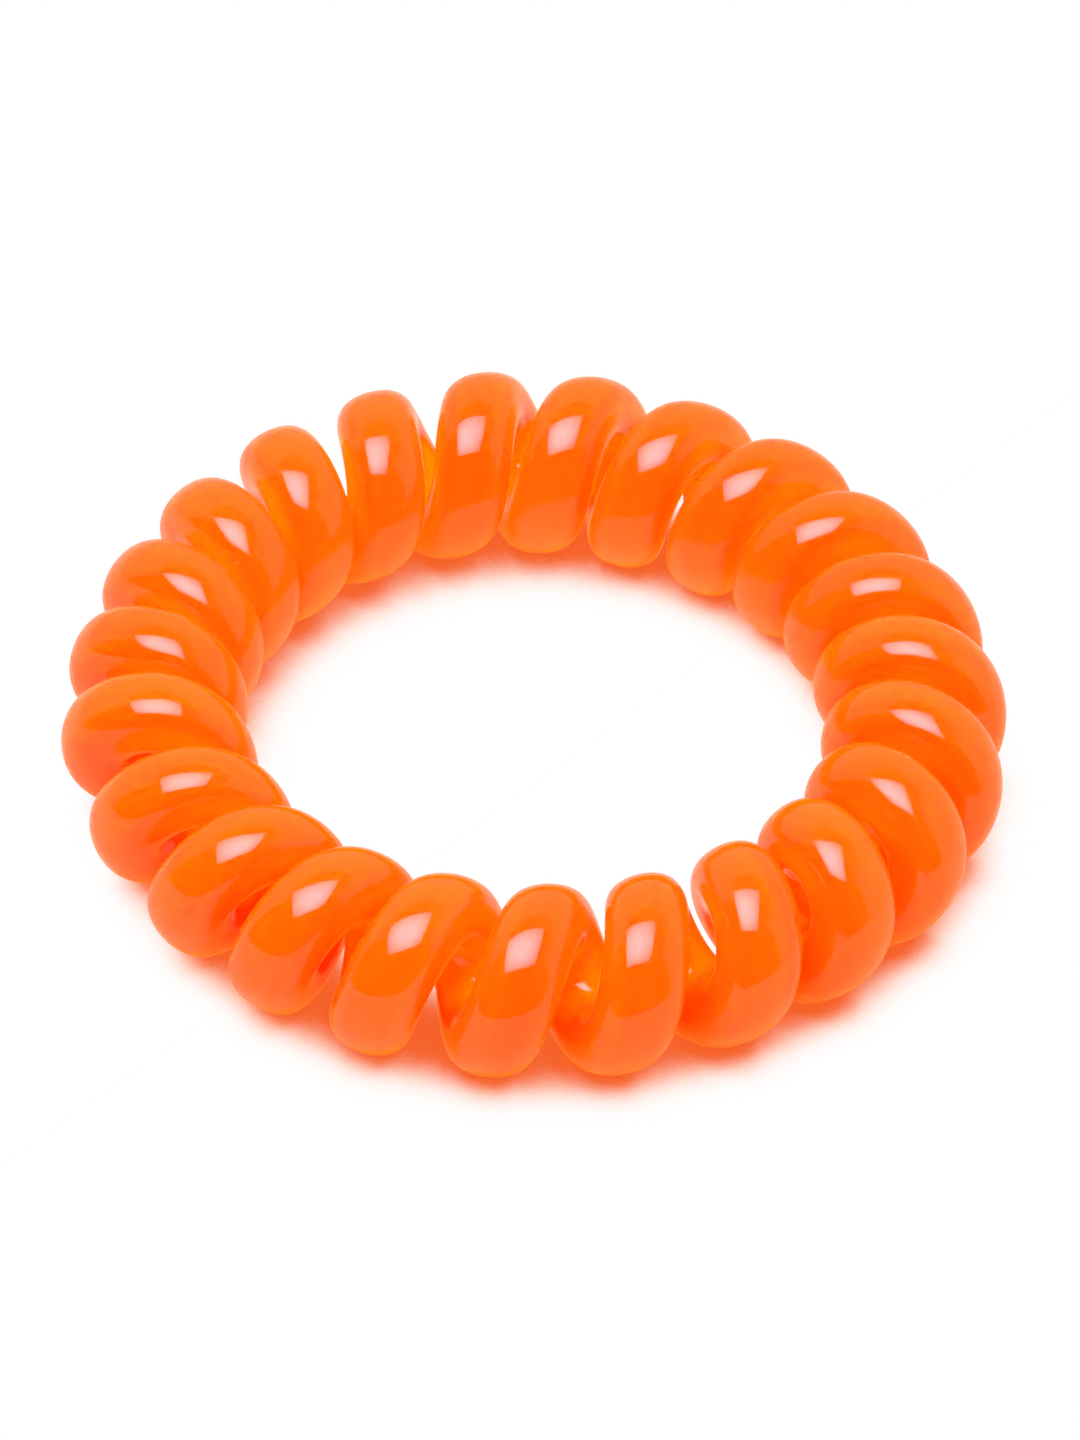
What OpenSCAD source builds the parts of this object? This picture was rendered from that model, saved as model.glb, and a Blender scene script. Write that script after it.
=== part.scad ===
// Spiral hair tie. One thick springy cord is wound in a close left-handed spiral,
// and its two ends are welded together, so that the spiral closes into a ring.
// The ring lies flat with its axis up, and the origin is at the middle of its base.

/* [Cord] */
// Width of the cord, measured along the row of turns
cord_width = 4.3; // [3:0.1:6]
// Thickness of the cord, from the inside of a turn to its outside
cord_thickness = 3.7; // [2.5:0.1:5.5]
// How full the corners of its section are: 2 is an ellipse, more is a rounder-cornered oblong
section_fullness = 2.4; // [2:0.1:3]
// Share of its width that the cord gives up where the turns crowd inside the ring
crowding_squeeze = 0.06; // [0:0.01:0.2]

/* [Winding] */
// Bore of the winding, the narrow round tunnel that every turn goes round
winding_bore = 2.4; // [1.2:0.1:8]
// Gap left between the closest two turns at the inside of the ring
turn_gap = 0.15; // [0.1:0.05:2]

/* [Hidden] */
// Number of cross-sections along one turn of the cord, and corners of each
sections_per_turn = 20;
section_corners = 12;
// Angle of the first turn round the ring
first_turn_angle = -107.5;
// Length of cord, in turns, over which its direction is taken
direction_step = 0.01;
// Place of the top of a turn, in turns from its outermost point
top_of_turn = 0.25;

// One row for each turn of the spiral, anticlockwise from the front:
// its space along the ring, as a share of an even spacing,
// how far it stands out from the ring's circle, as a share of the cord's width,
// how far it is raised off the surface, as a share of the cord's thickness,
// and how much wider it is wound, as a share of the winding's radius
SPACE = 0;
STAND_OUT = 1;
RAISE = 2;
SWELL = 3;
TURNS = [
    [1.08, -0.12, 0.00, 0.03],
    [1.05, -0.07, 0.00, 0.02],
    [1.05, -0.02, 0.00, 0.01],
    [0.97, -0.03, 0.00, -0.01],
    [0.97, 0.02, 0.00, -0.01],
    [0.96, 0.08, 0.00, 0.00],
    [0.96, 0.03, 0.00, 0.00],
    [0.98, -0.04, 0.00, 0.00],
    [1.04, -0.10, 0.00, -0.01],
    [1.06, -0.13, 0.00, -0.01],
    [1.03, -0.10, 0.00, -0.01],
    [0.99, -0.05, 0.00, 0.00],
    [0.96, 0.05, 0.03, 0.01],
    [1.00, 0.11, 0.06, 0.01],
    [0.97, 0.10, 0.10, 0.00],
    [0.94, 0.10, 0.10, 0.00],
    [0.92, 0.08, 0.06, 0.00],
    [0.92, 0.06, 0.02, 0.00],
    [0.98, 0.03, 0.02, 0.00],
    [1.12, -0.02, 0.06, 0.02],
    [1.06, -0.09, 0.11, -0.01],
    [0.98, -0.10, 0.10, 0.00],
    [1.01, -0.12, 0.05, 0.01]
];
turns = len(TURNS);

function total(list, last) = last < 0 ? 0 : list[last] + total(list, last - 1);
function column(name) = [for (row = TURNS) row[name]];
spaces = column(SPACE);
stand_outs = column(STAND_OUT);
raises = column(RAISE);
swells = column(SWELL);
even_space = total(spaces, turns - 1) / turns;
// How far each turn has run ahead of an even spacing, in turns
leads = [for (i = [0 : turns - 1]) total(spaces, i - 1) / even_space - i];

// Value of a column at any place along the cord, on a smooth closed curve through its rows
function smooth(before, here, next, after, t) =
    here + t / 2 * (next - before
        + t * (2 * before - 5 * here + 4 * next - after
            + t * (3 * (here - next) + after - before)));
function row_value(list, row) = list[(row + turns) % turns];
function along(list, place) =
    let (row = floor(place))
    smooth(row_value(list, row - 1), row_value(list, row), row_value(list, row + 1),
        row_value(list, row + 2), place - row);

// Radius of the path that the middle of the cord takes round the winding
winding_radius = (winding_bore + cord_thickness) / 2;
// Space that the cord and the gap beside it take up inside the ring, where the cord runs aslant
inner_space = cord_width * (1 - crowding_squeeze) + turn_gap;
slant_space = inner_space / sqrt(1 - pow(inner_space / (2 * PI * winding_radius), 2));
// Radius of the ring, from its axis to the middle of the winding, that gives every turn its space
ring_radius = max([for (row = TURNS)
    slant_space * turns * even_space / (2 * PI * row[SPACE])
        + winding_radius * (1 + row[SWELL]) - cord_width * row[STAND_OUT]]);

// Middle of the cord at a place along it, counted in turns. Each turn starts at its
// outermost point and goes over the top, and a row of the table holds at the top.
function ring_direction(place) =
    let (
        row = place - top_of_turn,
        angle = first_turn_angle + 360 / turns * (row + along(leads, row))
    )
    [cos(angle), sin(angle), 0];
function outward(place) =
    cos(360 * place) * ring_direction(place) + [0, 0, sin(360 * place)];
function cord_middle(place) =
    let (
        row = place - top_of_turn,
        reach = winding_radius * (1 + along(swells, row)),
        from_axis = ring_radius + cord_width * along(stand_outs, row),
        height = reach + cord_thickness * (1 / 2 + along(raises, row))
    )
    from_axis * ring_direction(place) + [0, 0, height] + reach * outward(place);

function unit(v) = v / norm(v);
function cord_direction(place) =
    unit(cord_middle(place + direction_step) - cord_middle(place - direction_step));

// How far a corner of the section reaches along one of its axes, for its cosine or sine
function reach_share(part) = sign(part) * pow(abs(part), 2 / section_fullness);

// Full oval cross-section of the cord at a place along it
function cross_section(place) =
    let (
        middle = cord_middle(place),
        direction = cord_direction(place),
        out = unit(outward(place) - (outward(place) * direction) * direction),
        side = cross(direction, out),
        width = cord_width * (1 - crowding_squeeze * (1 - cos(360 * place)) / 2)
    )
    [for (corner = [0 : section_corners - 1])
        middle + width / 2 * reach_share(cos(360 * corner / section_corners)) * side
            + cord_thickness / 2 * reach_share(sin(360 * corner / section_corners)) * out];

sections = turns * sections_per_turn;
function point_number(section, corner) =
    (section % sections) * section_corners + corner % section_corners;

// The whole cord, swept once round the closed spiral
module coil() {
    points = [for (section = [0 : sections - 1])
        each cross_section(section / sections_per_turn)];
    faces = [for (section = [0 : sections - 1], corner = [0 : section_corners - 1])
        each [
            [point_number(section, corner), point_number(section, corner + 1),
                point_number(section + 1, corner + 1)],
            [point_number(section, corner), point_number(section + 1, corner + 1),
                point_number(section + 1, corner)]
        ]];
    low = [for (axis = [0 : 2]) min([for (point = points) point[axis]])];
    high = [for (axis = [0 : 2]) max([for (point = points) point[axis]])];
    color("darkorange")
        translate([-(low[0] + high[0]) / 2, -(low[1] + high[1]) / 2, -low[2]])
            polyhedron(points = points, faces = faces, convexity = 10);
}

coil();
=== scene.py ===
from math import cos, hypot, pi, radians, sin

import bmesh
import bpy
from bpy.props import FloatProperty, FloatVectorProperty, IntProperty, PointerProperty
from mathutils import Matrix, Vector


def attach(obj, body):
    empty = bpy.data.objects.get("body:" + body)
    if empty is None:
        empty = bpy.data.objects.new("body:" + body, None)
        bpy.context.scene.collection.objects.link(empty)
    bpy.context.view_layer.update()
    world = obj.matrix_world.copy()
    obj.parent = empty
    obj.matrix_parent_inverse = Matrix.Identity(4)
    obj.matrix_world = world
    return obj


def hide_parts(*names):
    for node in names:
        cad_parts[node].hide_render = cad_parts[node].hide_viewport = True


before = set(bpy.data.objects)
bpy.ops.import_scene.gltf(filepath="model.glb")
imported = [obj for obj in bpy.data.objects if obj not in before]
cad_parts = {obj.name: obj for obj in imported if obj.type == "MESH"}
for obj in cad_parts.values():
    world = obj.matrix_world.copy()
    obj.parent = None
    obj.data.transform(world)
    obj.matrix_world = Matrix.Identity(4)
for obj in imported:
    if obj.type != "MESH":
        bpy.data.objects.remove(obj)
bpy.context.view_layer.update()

bl_info = {
    "name": "Spiral Hair Tie",
    "version": (1, 0, 0),
    "blender": (4, 5, 0),
    "location": "View3D > Sidebar > Hair Tie",
    "description": "Finishes the closed spiral cord and sets up a plain studio for it",
    "category": "Object",
}

CORD_NODE = "coil"
CORD_PIECE = "closed_cord"
MM = 0.001
# Radius and height of the circle that the middle of the winding follows
WINDING_CIRCLE = (19.9 * MM, 5.0 * MM)
UV_NAME = "unrolled_cord"

# Painted light: the sides of the turns are painted lighter where light comes through their
# neighbours. Facing runs from -1 on the outside of a turn to 1 in the bore of the winding, and
# nearness from -1 to 1 at the glow place of each turn. Each pair is where the painted lighter
# colour starts and is full.
FLANK_FACING = (-0.6, 0.3)
FLANK_NEARNESS = (-0.7, 0.7)
BORE_FACING = (0.2, 0.8)
BORE_NEARNESS = (-1.0, -0.2)
# Place across the ring, from front to back, where the flanks begin to get more of the painted
# light and get all, how much further out their painted lighter colour then starts, and what it
# adds to flanks and bore
BACK_PLACE = (-5 * MM, 15 * MM)
BACK_FACING_SHIFT = 0.14
BACK_FLANK_LIGHT = 0.35
BACK_BORE_LIGHT = 0.3

# The streaks left by moulding: their noise, how often it changes along the cord,
# how far it shifts the colour either way, and the range that varies the gloss
STREAK_NOISE = {"Scale": 1.7, "Detail": 2.0, "Roughness": 0.5}
STREAK_LENGTHS = 2.2
STREAK_SHIFT = 0.12
STREAK_RANGE = (0.3, 0.7)
GLOSS_VARIATION = (0.5, 1.5)
RIPPLE_HEIGHT = 0.012 * MM
SCATTER_COLOURS = (1.0, 0.7, 0.3)

# Colour painted on the floor by how much of the sky it sees: a painted shadow, with the light that
# comes through the cord painted as an orange glow where the cord is near
PAINTED_SHADOW_AND_GLOW_STOPS = (
    (0.31, (0.92, 0.12, 0.02, 1)),
    (0.35, (1.0, 0.32, 0.17, 1)),
    (0.405, (1.0, 0.62, 0.50, 1)),
    (0.475, (1.0, 0.88, 0.83, 1)),
    (0.57, (1.0, 1.0, 1.0, 1)),
)
SHADOW_SAMPLES = 20
# Distance from the middle over which the inner floor's bounce gives way to the outer floor's
BOUNCE_CHANGE = (12 * MM, 18 * MM)
BOUNCE_COLOUR = (1.0, 0.75, 0.65, 1)
# Distance from the middle over which the light added inside the ring fades away
INNER_LIGHT_CHANGE = (17 * MM, 20 * MM)
FLOOR_ROUGHNESS = 0.9

# Softboxes: centre and size as shares of their height above the floor
MIRRORED_SOFTBOX = {"centre": (-0.16, -0.17), "size": (0.98, 0.92), "height": 0.6}
MIRRORED_COLOUR = (1.0, 0.80, 1.0)
# Distance from the mirrored softbox's middle, in its widths, at which it would fade to nothing
FADE_DISTANCE = 0.60
LIT_SOFTBOX = {"centre": (-0.16, -0.15), "size": (0.75, 0.65), "height": 0.35}
# Share of its brightness that the lit softbox lends the floor under it
LIT_SHARE = 0.129

# The tent's walls: the way to the wall behind, the range over which each wall begins,
# where their tops fade, and the brightness of what is left there and of the wall on the right
WALL_BEHIND = (0.4, 1.0, 0.0)
WALL_BEHIND_RANGE = (-0.22, -0.08)
WALL_RIGHT_RANGE = (0.70, 0.95)
WALL_RIGHT_SHARE = 0.35
WALL_TOP_RANGE = (0.77, 0.80)
CEILING_SHARE = 0.15
WALL_COLOUR = (1, 1, 0.8, 1)
WHITE = (1, 1, 1, 1)

FILM_HEIGHT_MM = 36.0
CLIP_RANGE = (0.01, 10.0)


class CordSettings(bpy.types.PropertyGroup):
    merge_distance: FloatProperty(
        name="Merge distance",
        description="Corners of the packed cord closer than this are one corner",
        default=0.01 * MM, min=0, unit="LENGTH", precision=5)
    plumping: FloatProperty(
        name="Plumping",
        description="How far the faceted cord swells before it is rounded, which shrinks it",
        default=0.14 * MM, min=0, unit="LENGTH", precision=5)
    rounding: IntProperty(
        name="Rounding",
        description="Levels of subdivision that round the cord",
        default=2, min=1, max=2)
    body_colour: FloatVectorProperty(
        name="Body colour",
        description="Colour of the clear plastic where light has gone some way through it",
        subtype="COLOR", size=3, min=0, max=1, default=(1.0, 0.108, 0.001))
    # Painted light: the lighter colour painted on the bore of the winding and on the sides of the
    # turns that face each other
    painted_glow_colour: FloatVectorProperty(
        name="Inner colour",
        description="Colour of the plastic in the bore of the winding and on the sides "
                    "of the turns that face each other",
        subtype="COLOR", size=3, min=0, max=1, default=(1.0, 0.36, 0.001))
    shadow_colour: FloatVectorProperty(
        name="Shadow colour",
        description="Colour of the light that each skin of the cord lets through "
                    "to what it shades",
        subtype="COLOR", size=3, min=0, max=1, default=(0.95, 0.20, 0.03))
    glow_colour: FloatVectorProperty(
        name="Glow colour",
        description="Colour of the light that each skin of the cord lets through "
                    "to the turns beside it",
        subtype="COLOR", size=3, min=0, max=1, default=(1.0, 0.75, 0.15))
    turns: IntProperty(
        name="Turns", description="Number of turns of the spiral", default=23, min=1)
    # Where the painted light on the sides that face the next turns is strongest
    glow_place: FloatProperty(
        name="Glow place",
        description="Share of a turn, from its outermost point by way of the underside, "
                    "at which the sides that face the next turns are lightest",
        default=0.58, min=0, max=1)
    scatter_depth: FloatProperty(
        name="Scatter depth",
        description="How far light travels inside the cord",
        default=3.0 * MM, min=0, unit="LENGTH", precision=4)
    gloss_roughness: FloatProperty(
        name="Gloss roughness",
        description="Roughness of the glossy skin",
        default=0.008, min=0, max=1, subtype="FACTOR")
    refraction: FloatProperty(
        name="Index of refraction",
        description="Index of refraction of the elastic plastic",
        default=1.5, min=1, max=2)
    gloss: FloatProperty(
        name="Gloss",
        description="Strength of the reflections in the skin",
        default=0.5, min=0, max=1, subtype="FACTOR")


class StageSettings(bpy.types.PropertyGroup):
    floor_size: FloatProperty(
        name="Floor size", description="Width of the square floor",
        default=6.0, min=0.1, unit="LENGTH")
    floor_colour: FloatVectorProperty(
        name="Floor colour", description="Colour of the plain pale floor",
        subtype="COLOR", size=3, min=0, max=1, default=(0.95, 0.95, 0.95))
    fill_light: FloatProperty(
        name="Fill light", description="Brightness of the soft light from all around",
        default=0.06, min=0)
    bounce_light: FloatProperty(
        name="Bounce light",
        description="Brightness that the lit floor adds to the underside of the cord",
        default=0.5, min=0)
    inner_bounce: FloatProperty(
        name="Inner bounce", description="The same for the floor inside the ring",
        default=2.0, min=0)
    shadow_reach: FloatProperty(
        name="Shadow reach", description="How far away the cord still hides sky from the floor",
        default=8 * MM, min=0, unit="LENGTH")
    inner_light: FloatProperty(
        name="Inner light",
        description="Share of the sky by which the floor inside the ring is lightened",
        default=0.06, min=0, max=1, subtype="FACTOR")
    shadow_lean: FloatVectorProperty(
        name="Shadow lean", description="Direction that most of the light on the floor comes from",
        subtype="DIRECTION", size=3, default=(-0.16, 0.0, 0.98))
    mirrored_floor: FloatVectorProperty(
        name="Mirrored floor", description="Colour of the floor as the gloss mirrors it",
        subtype="COLOR", size=3, min=0, max=1, default=(0.342, 0.37, 0.30))
    wall_light: FloatProperty(
        name="Wall light",
        description="How many times brighter the walls are as they light the cord",
        default=3.4, min=0)
    key_light: FloatProperty(
        name="Key light",
        description="Brightness that the overhead light lends the floor and the cord",
        default=1.4, min=0)
    highlight: FloatProperty(
        name="Highlight", description="Brightness of the mirrored softbox in its middle",
        default=12.3, min=0)
    tent: FloatProperty(
        name="Tent", description="Brightness of the pale walls as the gloss mirrors them",
        default=0.45, min=0)
    camera_elevation: FloatProperty(
        name="Camera elevation", description="Angle of the camera above the floor",
        default=radians(42.85), unit="ROTATION")
    camera_roll: FloatProperty(
        name="Camera roll", description="How far the camera leans sideways",
        default=radians(1.40), unit="ROTATION")
    camera_distance: FloatProperty(
        name="Camera distance", description="From the camera to the point that it aims at",
        default=0.410, min=0.01, unit="LENGTH")
    camera_aim: FloatVectorProperty(
        name="Camera aim", description="Point that the camera looks at",
        subtype="TRANSLATION", size=3, default=(0.31 * MM, -0.62 * MM, 5.0 * MM))
    frame_height: FloatProperty(
        name="Frame height",
        description="Height of the picture at the point that the camera aims at",
        default=75.37 * MM, min=0, unit="LENGTH")


def deselect_everything():
    for thing in bpy.context.selected_objects:
        thing.select_set(False)


def make_active(thing):
    deselect_everything()
    thing.select_set(True)
    bpy.context.view_layer.objects.active = thing


class Wiring:
    """Adds nodes to one node tree. An input takes a plain value or another node's output."""

    def __init__(self, tree):
        self.nodes, self.links = tree.nodes, tree.links

    def feed(self, socket, value):
        if isinstance(value, bpy.types.NodeSocket):
            self.links.new(value, socket)
        else:
            socket.default_value = value

    def add(self, kind, inputs, output=0, **settings):
        node = self.nodes.new("ShaderNode" + kind)
        for name, value in settings.items():
            setattr(node, name, value)
        for name, value in inputs.items():
            self.feed(node.inputs[name], value)
        return node.outputs[output]

    def math(self, operation, *values, **settings):
        return self.add("Math", dict(enumerate(values)), operation=operation, **settings)

    def vector(self, operation, inputs, output=0):
        return self.add("VectorMath", inputs, output, operation=operation)

    def split(self, vector):
        node = self.nodes.new("ShaderNodeSeparateXYZ")
        self.feed(node.inputs[0], vector)
        return node.outputs

    def rise(self, value, span, start=0.0, end=1.0, interpolation="SMOOTHSTEP"):
        inputs = {"Value": value, "From Min": span[0], "From Max": span[1],
                  "To Min": start, "To Max": end}
        return self.add("MapRange", inputs, interpolation_type=interpolation)

    def mix_shaders(self, share, first, second):
        return self.add("MixShader", {0: share, 1: first, 2: second})

    def light_path(self):
        return self.nodes.new("ShaderNodeLightPath").outputs


def unroll(mesh):
    """Give the cord a UV map: U runs along it from end to end and V once round its
    section, from the side that faces the bore of the winding. Its faces have to be a
    grid of quads, closed both ways."""
    shape = bmesh.new()
    shape.from_mesh(mesh)
    uv = shape.loops.layers.uv.new(UV_NAME)
    ring, height = WINDING_CIRCLE

    def from_bore(vert):
        return hypot(hypot(vert.co.x, vert.co.y) - ring, vert.co.z - height)

    def across(loop):
        return loop.link_loop_next.link_loop_next.link_loop_radial_next

    def onwards(loop):
        return loop.link_loop_next.link_loop_radial_next.link_loop_next

    def steps_back_to(start, step):
        count, loop = 1, step(start)
        while loop != start:
            if len(loop.face.verts) != 4 or count > len(shape.faces):
                raise RuntimeError("the cord's faces are no closed grid of quads")
            count, loop = count + 1, step(loop)
        return count

    innermost = min(shape.verts, key=from_bore)
    start = min(innermost.link_loops, key=lambda loop: steps_back_to(loop, across))
    round_count, along_count = steps_back_to(start, across), steps_back_to(start, onwards)
    if round_count * along_count != len(shape.faces):
        raise RuntimeError("the cord's faces are no closed grid of quads")
    first = start
    for i in range(along_count):
        loop = first
        for j in range(round_count):
            corner = loop
            for u, v in ((i, j), (i + 1, j), (i + 1, j + 1), (i, j + 1)):
                corner[uv].uv = (u / along_count, v / round_count)
                corner = corner.link_loop_next
            loop = across(loop)
        first = onwards(first)
    shape.to_mesh(mesh)
    shape.free()


class TIE_OT_round_cord(bpy.types.Operator):
    """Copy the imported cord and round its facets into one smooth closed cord"""

    bl_idname = "tie.round_cord"
    bl_label = "Round the Cord"

    def execute(self, context):
        settings = context.scene.tie_cord
        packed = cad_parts[CORD_NODE]
        cord = bpy.data.objects.new(CORD_PIECE, packed.data.copy())
        context.scene.collection.objects.link(cord)
        make_active(cord)
        cord.data.materials.clear()
        bpy.ops.object.mode_set(mode="EDIT")
        bpy.ops.mesh.select_all(action="SELECT")
        bpy.ops.mesh.remove_doubles(threshold=settings.merge_distance)
        bpy.ops.mesh.tris_convert_to_quads(face_threshold=pi, shape_threshold=pi)
        bpy.ops.mesh.normals_make_consistent(inside=False)
        bpy.ops.transform.shrink_fatten(value=settings.plumping)
        bpy.ops.object.mode_set(mode="OBJECT")
        unroll(cord.data)
        bpy.ops.object.modifier_add(type="SUBSURF")
        rounding = cord.modifiers[-1]
        rounding.levels = rounding.render_levels = settings.rounding
        bpy.ops.object.modifier_apply(modifier=rounding.name)
        bpy.ops.object.shade_smooth()
        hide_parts(CORD_NODE)
        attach(cord, "root")
        return {"FINISHED"}


class TIE_OT_finish_cord(bpy.types.Operator):
    """Give the cord its clear glossy orange plastic"""

    bl_idname = "tie.finish_cord"
    bl_label = "Finish the Cord"

    def execute(self, context):
        settings = context.scene.tie_cord
        plastic = bpy.data.materials.new("clear_orange_plastic")
        plastic.use_nodes = True
        wiring = Wiring(plastic.node_tree)
        shader = wiring.nodes["Principled BSDF"]
        along, around = wiring.split(wiring.add("UVMap", {}, uv_map=UV_NAME))[:2]
        angle = wiring.math("MULTIPLY", around, 2 * pi)
        facing = wiring.math("COSINE", angle)

        # Painted light on the flanks and the bore, mixed into the body colour with the streaks'
        # random shift
        lightened = self.painted_glow_share(wiring, settings, along, facing)
        streaks = self.streaks(wiring, along, angle, facing)
        shift = wiring.math("MULTIPLY_ADD", streaks, 2 * STREAK_SHIFT, -STREAK_SHIFT)
        colours = {
            "Factor": wiring.math("ADD", lightened, shift),
            "A": (*settings.body_colour, 1),
            "B": (*settings.painted_glow_colour, 1),
        }
        colour = wiring.add("Mix", colours, "Result", data_type="RGBA", clamp_factor=False)
        roughness = [share * settings.gloss_roughness for share in GLOSS_VARIATION]
        skin = wiring.rise(streaks, STREAK_RANGE, *roughness, interpolation="LINEAR")
        ripple = {"Strength": 1.0, "Distance": RIPPLE_HEIGHT, "Height": streaks}
        finish = {
            "Base Color": colour,
            "Roughness": skin,
            "Normal": wiring.add("Bump", ripple),
            "IOR": settings.refraction,
            "Subsurface Weight": 1.0,
            "Subsurface Radius": SCATTER_COLOURS,
            "Subsurface Scale": settings.scatter_depth,
            "Specular IOR Level": settings.gloss,
        }
        for name, value in finish.items():
            wiring.feed(shader.inputs[name], value)

        path = wiring.light_path()
        tints = {
            "Factor": wiring.math("SUBTRACT", path["Ray Depth"], 1.0),
            "A": (*settings.shadow_colour, 1),
            "B": (*settings.glow_colour, 1),
        }
        tint = wiring.add("Mix", tints, "Result", data_type="RGBA")
        through = wiring.add("BsdfTransparent", {"Color": tint})
        surface = wiring.mix_shaders(path["Is Shadow Ray"], shader.outputs[0], through)
        wiring.feed(wiring.nodes["Material Output"].inputs["Surface"], surface)
        bpy.data.objects[CORD_PIECE].data.materials.append(plastic)
        return {"FINISHED"}

    def painted_glow_share(self, wiring, settings, along, facing):
        """How much painted light each place has, as a share of the painted glow colour: the flanks
        near the glow place of each turn and the bore of the winding, and more of both at the back
        of the ring"""
        place = wiring.split(wiring.add("TexCoord", {}, "Object"))
        back = wiring.rise(place["Y"], BACK_PLACE)
        phase = wiring.math("MULTIPLY_ADD", along, 2 * pi * settings.turns,
                            -2 * pi * settings.glow_place)
        nearness = wiring.math("COSINE", phase)
        shifted = wiring.math("MULTIPLY_ADD", back, BACK_FACING_SHIFT, facing)
        lit = wiring.math("MAXIMUM", wiring.rise(nearness, FLANK_NEARNESS),
                          wiring.math("MULTIPLY", back, BACK_FLANK_LIGHT))
        flank = wiring.math("MULTIPLY", wiring.rise(shifted, FLANK_FACING), lit)
        bore_light = wiring.math("MULTIPLY_ADD", back, BACK_BORE_LIGHT, 1.0)
        opened = wiring.math("MAXIMUM", wiring.rise(nearness, BORE_NEARNESS), back)
        bore = wiring.math("MULTIPLY", wiring.rise(facing, BORE_FACING), bore_light)
        return wiring.math("MAXIMUM", flank, wiring.math("MULTIPLY", bore, opened))

    def streaks(self, wiring, along, angle, facing):
        """Noise on the closed cord, whose length and section are each wrapped round a circle"""
        length = wiring.math("MULTIPLY", along, 2 * pi)
        wrapped = [wiring.math("MULTIPLY", wiring.math(wave, length), STREAK_LENGTHS)
                   for wave in ("COSINE", "SINE")]
        spot = {"X": facing, "Y": wiring.math("SINE", angle), "Z": wrapped[0]}
        inputs = {"Vector": wiring.add("CombineXYZ", spot), "W": wrapped[1], **STREAK_NOISE}
        return wiring.add("TexNoise", inputs, noise_dimensions="4D")


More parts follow.
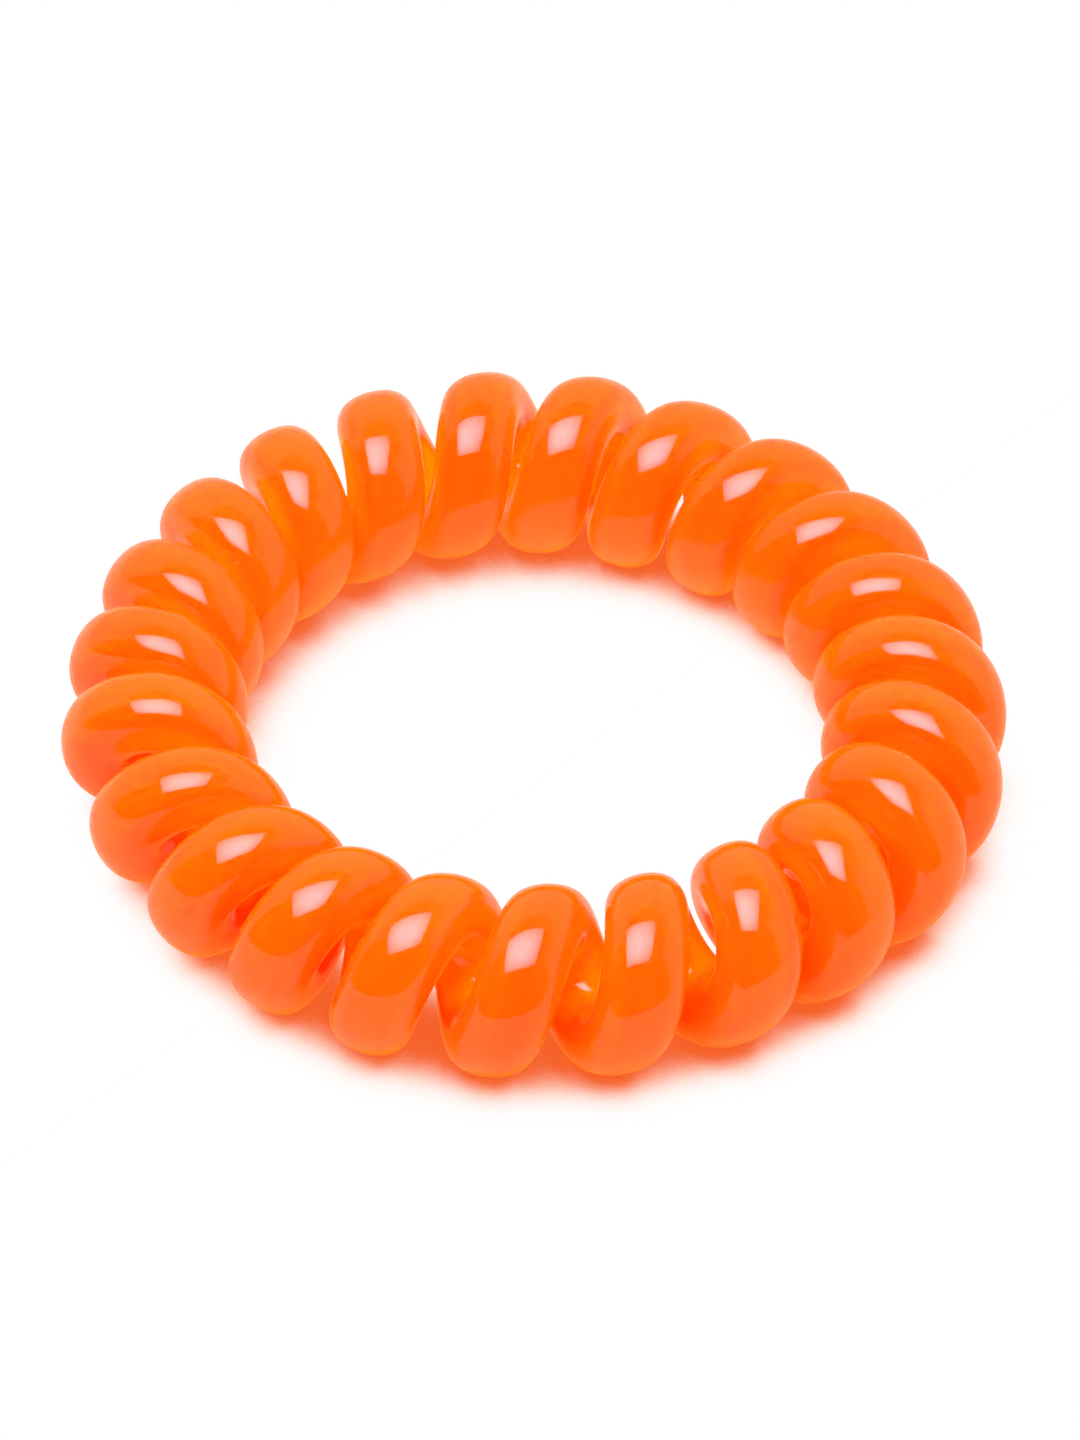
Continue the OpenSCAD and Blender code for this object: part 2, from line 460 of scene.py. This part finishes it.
class TIE_OT_set_stage(bpy.types.Operator):
    """Lay the pale floor, hang the soft studio lights and aim the camera"""

    bl_idname = "tie.set_stage"
    bl_label = "Set the Stage"

    def execute(self, context):
        self.lay_floor(context)
        self.hang_lights(context)
        self.raise_tent(context)
        self.aim_camera(context)
        context.scene.view_settings.view_transform = "Standard"
        return {"FINISHED"}

    def lay_floor(self, context):
        settings = context.scene.tie_stage
        deselect_everything()
        bpy.ops.mesh.primitive_plane_add(size=settings.floor_size)
        floor = context.object
        floor.name = "floor"
        paper = bpy.data.materials.new("pale_paper")
        paper.use_nodes = True
        wiring = Wiring(paper.node_tree)
        shader = wiring.nodes["Principled BSDF"]
        path = wiring.light_path()

        # The floor as it lights the cord and shows in its gloss
        colours = {
            "Factor": path["Is Glossy Ray"],
            "A": (*settings.floor_colour, 1),
            "B": (*settings.mirrored_floor, 1),
        }
        where = wiring.add("TexCoord", {}, "Object")
        from_middle = wiring.vector("LENGTH", {0: where}, "Value")
        bounce = wiring.rise(from_middle, BOUNCE_CHANGE,
                             settings.inner_bounce, settings.bounce_light)
        finish = {
            "Base Color": wiring.add("Mix", colours, "Result", data_type="RGBA"),
            "Emission Color": BOUNCE_COLOUR,
            "Emission Strength": wiring.math("MULTIPLY", path["Is Diffuse Ray"], bounce),
            "Roughness": FLOOR_ROUGHNESS,
            "Specular IOR Level": 0.0,
        }
        for name, value in finish.items():
            wiring.feed(shader.inputs[name], value)

        # The floor as it is seen: an emitted colour with the cord's shadow and orange glow painted
        # on, and painted light inside the ring
        lean = Vector(settings.shadow_lean).normalized()
        leaned = wiring.add("CombineXYZ", dict(enumerate(lean)))
        sky = {"Distance": settings.shadow_reach, "Normal": leaned}
        open_sky = wiring.add("AmbientOcclusion", sky, "AO", samples=SHADOW_SAMPLES)
        inner_light = wiring.rise(from_middle, INNER_LIGHT_CHANGE, settings.inner_light, 0.0)
        glow = wiring.nodes.new("ShaderNodeValToRGB")
        wiring.feed(glow.inputs["Fac"], wiring.math("ADD", open_sky, inner_light))
        stops = glow.color_ramp.elements
        stops[0].position, stops[0].color = PAINTED_SHADOW_AND_GLOW_STOPS[0]
        stops[1].position, stops[1].color = PAINTED_SHADOW_AND_GLOW_STOPS[-1]
        for place, colour in PAINTED_SHADOW_AND_GLOW_STOPS[1:-1]:
            stops.new(place).color = colour
        seen = wiring.add("Emission", {"Color": glow.outputs["Color"]})
        surface = wiring.mix_shaders(path["Is Camera Ray"], shader.outputs[0], seen)
        wiring.feed(wiring.nodes["Material Output"].inputs["Surface"], surface)
        floor.data.materials.append(paper)

    def hang_lights(self, context):
        settings = context.scene.tie_stage

        def softbox(name, radiance, centre, size, height):
            data = bpy.data.lights.new(name, "AREA")
            data.shape = "RECTANGLE"
            data.size, data.size_y = size[0] * height, size[1] * height
            data.energy = radiance * pi * data.size * data.size_y
            lamp = bpy.data.objects.new(name, data)
            lamp.location = (centre[0] * height, centre[1] * height, height)
            lamp.visible_camera = False
            context.scene.collection.objects.link(lamp)
            return lamp

        mirrored = softbox("softbox_mirrored", settings.highlight, **MIRRORED_SOFTBOX)
        mirrored.visible_diffuse = False
        mirrored.data.color = MIRRORED_COLOUR
        self.fade_edges(mirrored.data)
        lit = softbox("softbox_lit", settings.key_light / LIT_SHARE, **LIT_SOFTBOX)
        lit.visible_glossy = False

    def fade_edges(self, light):
        """Make the softbox brightest in its middle"""
        light.use_nodes = True
        wiring = Wiring(light.node_tree)
        place = wiring.add("NewGeometry", {}, "Parametric")
        from_middle = wiring.vector("SUBTRACT", {0: place, 1: (0.5, 0.5, 0)})
        scaled = wiring.vector("DIVIDE", {0: from_middle, 1: (FADE_DISTANCE, FADE_DISTANCE, 1)})
        fades = [wiring.math("SUBTRACT", 1.0, wiring.math("MULTIPLY", part, part), use_clamp=True)
                 for part in wiring.split(scaled)[:2]]
        wiring.feed(wiring.nodes["Emission"].inputs["Strength"], wiring.math("MULTIPLY", *fades))

    def raise_tent(self, context):
        """White to the camera, pale walls to the gloss, and soft light to all else"""
        settings = context.scene.tie_stage
        world = bpy.data.worlds.new("studio")
        context.scene.world = world
        world.use_nodes = True
        wiring = Wiring(world.node_tree)
        path = wiring.light_path()
        where = wiring.add("TexCoord", {}, "Generated")
        direction = wiring.split(where)
        behind = wiring.vector("DOT_PRODUCT", {0: where, 1: WALL_BEHIND}, "Value")
        right_light = WALL_RIGHT_SHARE * settings.tent
        sides = wiring.math("ADD", wiring.rise(behind, WALL_BEHIND_RANGE, 0.0, settings.tent),
                            wiring.rise(direction["X"], WALL_RIGHT_RANGE, 0.0, right_light))
        walls = wiring.math("MULTIPLY", sides,
                            wiring.rise(direction["Z"], WALL_TOP_RANGE, 1.0, CEILING_SHARE))
        light = wiring.math("MULTIPLY_ADD", walls, settings.wall_light, settings.fill_light)
        fill = wiring.nodes["Background"]
        wiring.feed(fill.inputs["Color"], WHITE)
        wiring.feed(fill.inputs["Strength"], light)
        tent = wiring.add("Background", {"Color": WALL_COLOUR, "Strength": walls})
        seen = wiring.add("Background", {"Color": WHITE, "Strength": 1.0})
        unseen = wiring.mix_shaders(path["Is Glossy Ray"], fill.outputs[0], tent)
        surface = wiring.mix_shaders(path["Is Camera Ray"], unseen, seen)
        wiring.feed(wiring.nodes["World Output"].inputs["Surface"], surface)

    def aim_camera(self, context):
        settings = context.scene.tie_stage
        data = bpy.data.cameras.new("photo_camera")
        data.sensor_fit = "VERTICAL"
        data.sensor_height = data.sensor_width = FILM_HEIGHT_MM
        data.lens = data.sensor_height * settings.camera_distance / settings.frame_height
        data.clip_start, data.clip_end = CLIP_RANGE
        camera = bpy.data.objects.new("photo_camera", data)
        context.scene.collection.objects.link(camera)
        elevation = settings.camera_elevation
        back = Vector((0, -cos(elevation), sin(elevation)))
        aim = Vector(settings.camera_aim)
        turn = back.to_track_quat("Z", "Y").to_matrix().to_4x4()
        roll = Matrix.Rotation(-settings.camera_roll, 4, "Z")
        place = Matrix.Translation(aim + back * settings.camera_distance)
        camera.matrix_world = place @ turn @ roll
        context.scene.camera = camera


class TIE_PT_sidebar(bpy.types.Panel):
    """Steps and settings of the hair tie"""

    bl_idname = "TIE_PT_sidebar"
    bl_label = "Hair Tie"
    bl_space_type = "VIEW_3D"
    bl_region_type = "UI"
    bl_category = "Hair Tie"

    def draw(self, context):
        for operator in STEPS:
            self.layout.operator(operator.bl_idname)
        for settings in (context.scene.tie_cord, context.scene.tie_stage):
            box = self.layout.box()
            for name in settings.bl_rna.properties.keys():
                if name not in ("rna_type", "name"):
                    box.prop(settings, name)


STEPS = (TIE_OT_round_cord, TIE_OT_finish_cord, TIE_OT_set_stage)
CLASSES = (CordSettings, StageSettings, *STEPS, TIE_PT_sidebar)


def register():
    for kind in CLASSES:
        bpy.utils.register_class(kind)
    bpy.types.Scene.tie_cord = PointerProperty(type=CordSettings)
    bpy.types.Scene.tie_stage = PointerProperty(type=StageSettings)


def unregister():
    del bpy.types.Scene.tie_stage
    del bpy.types.Scene.tie_cord
    for kind in reversed(CLASSES):
        bpy.utils.unregister_class(kind)


def main():
    register()
    bpy.ops.tie.round_cord()
    bpy.ops.tie.finish_cord()
    bpy.ops.tie.set_stage()


if __name__ == "__main__":
    main()
